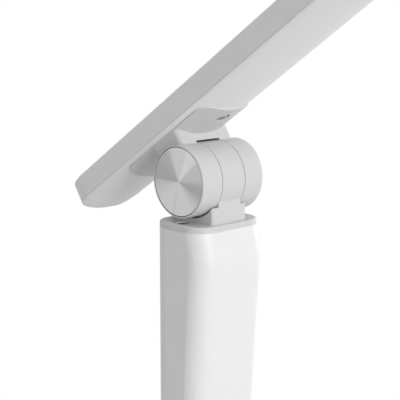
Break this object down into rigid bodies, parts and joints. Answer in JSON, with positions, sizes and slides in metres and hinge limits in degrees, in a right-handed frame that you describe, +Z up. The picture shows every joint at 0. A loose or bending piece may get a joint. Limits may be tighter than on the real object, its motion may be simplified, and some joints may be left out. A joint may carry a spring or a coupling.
{
  "type": "folding desk lamp",
  "caption": "Folding desk lamp: weighted flat base, waisted square stem between two friction drum hinges, and a long slim light head.",
  "frame": {"origin": "On the standing surface, in the foot pad's lower face, straight under the stem's axis and the two hinges", "axes": "+Z up; +X the way the light head reaches, over the front of the base; the hinge axes run along Y"},
  "size_m": [0.2922, 0.124, 0.5153],
  "materials": {
    "white_shell": "satin white moulded shell",
    "hinge_grey": "fine matt light grey moulding",
    "spun_disc": "turned face with fine circular grooves",
    "button_silver": "satin silver",
    "bright_steel": "bright zinc-plated",
    "dark_steel": "black oxide",
    "zinc_steel": "zinc-plated sheet",
    "weight_iron": "painted casting",
    "extruded_aluminium": "mill finish",
    "pad_rubber": "matt silicone",
    "bush_polymer": "self-lubricating polymer",
    "board_green": "solder mask",
    "board_white": "white solder mask",
    "switch_black": "moulded",
    "chip_yellow": "silicone lens",
    "frosted_window": "frosted",
    "reflector_white": "matt white",
    "lead_grey": "smooth insulation"
  },
  "bodies": {
    "base": {"foot_pad": "pad_rubber", "base_plate": "zinc_steel", "base_screws": "dark_steel", "counterweight": "weight_iron", "counterweight_screws": "dark_steel", "base_shell": "white_shell", "control_board": "board_green", "board_posts": "bush_polymer", "tact_switches": "switch_black", "usb_inlet": "bright_steel", "inlet_board": "board_green", "inlet_screws": "bright_steel", "power_lead": "lead_grey", "base_yoke": "hinge_grey", "base_yoke_screws": "dark_steel", "base_end_discs": "spun_disc", "base_hinge_bolt": "bright_steel", "base_hinge_nut": "bright_steel", "base_spring_washers": "bright_steel", "base_lead": "lead_grey"},
    "power_button": {"power_button": "button_silver"},
    "mode_button": {"mode_button": "button_silver"},
    "stem": {"stem_foot": "hinge_grey", "foot_bush": "bush_polymer", "foot_stop_pin": "bright_steel", "foot_cap_screws": "bright_steel", "stem_shell": "white_shell", "stem_spine": "extruded_aluminium", "stem_lead": "lead_grey", "stem_knuckle": "hinge_grey", "knuckle_bush": "bush_polymer", "knuckle_stop_pin": "bright_steel", "knuckle_cap_screws": "bright_steel"},
    "head": {"head_yoke": "hinge_grey", "head_end_discs": "spun_disc", "head_hinge_bolt": "bright_steel", "head_hinge_nut": "bright_steel", "head_spring_washers": "bright_steel", "saddle_screws": "bright_steel", "head_bracket": "zinc_steel", "bracket_screws": "dark_steel", "head_housing": "white_shell", "head_cover": "white_shell", "diffuser": "frosted_window", "reflector": "reflector_white", "led_board": "board_white", "led_chips": "chip_yellow", "heat_spreader": "extruded_aluminium", "head_lead": "lead_grey"}
  },
  "joints": [
    {"name": "stem_tilt", "type": "hinge", "parent": "base", "child": "stem", "pos_m": [0, 0, 0.0356], "axis": [0, 1, 0], "range_deg": [-15, 40]},
    {"name": "head_fold", "type": "hinge", "parent": "stem", "child": "head", "pos_m": [0, 0, 0.3356], "axis": [0, 1, 0], "range_deg": [-54, 120]},
    {"name": "power_press", "type": "slide", "parent": "base", "child": "power_button", "axis": [0, 0, -1], "range_m": [0, 0.0008], "stiffness_N_per_m": 1200},
    {"name": "mode_press", "type": "slide", "parent": "base", "child": "mode_button", "axis": [0, 0, -1], "range_m": [0, 0.0008], "stiffness_N_per_m": 1200}
  ]
}
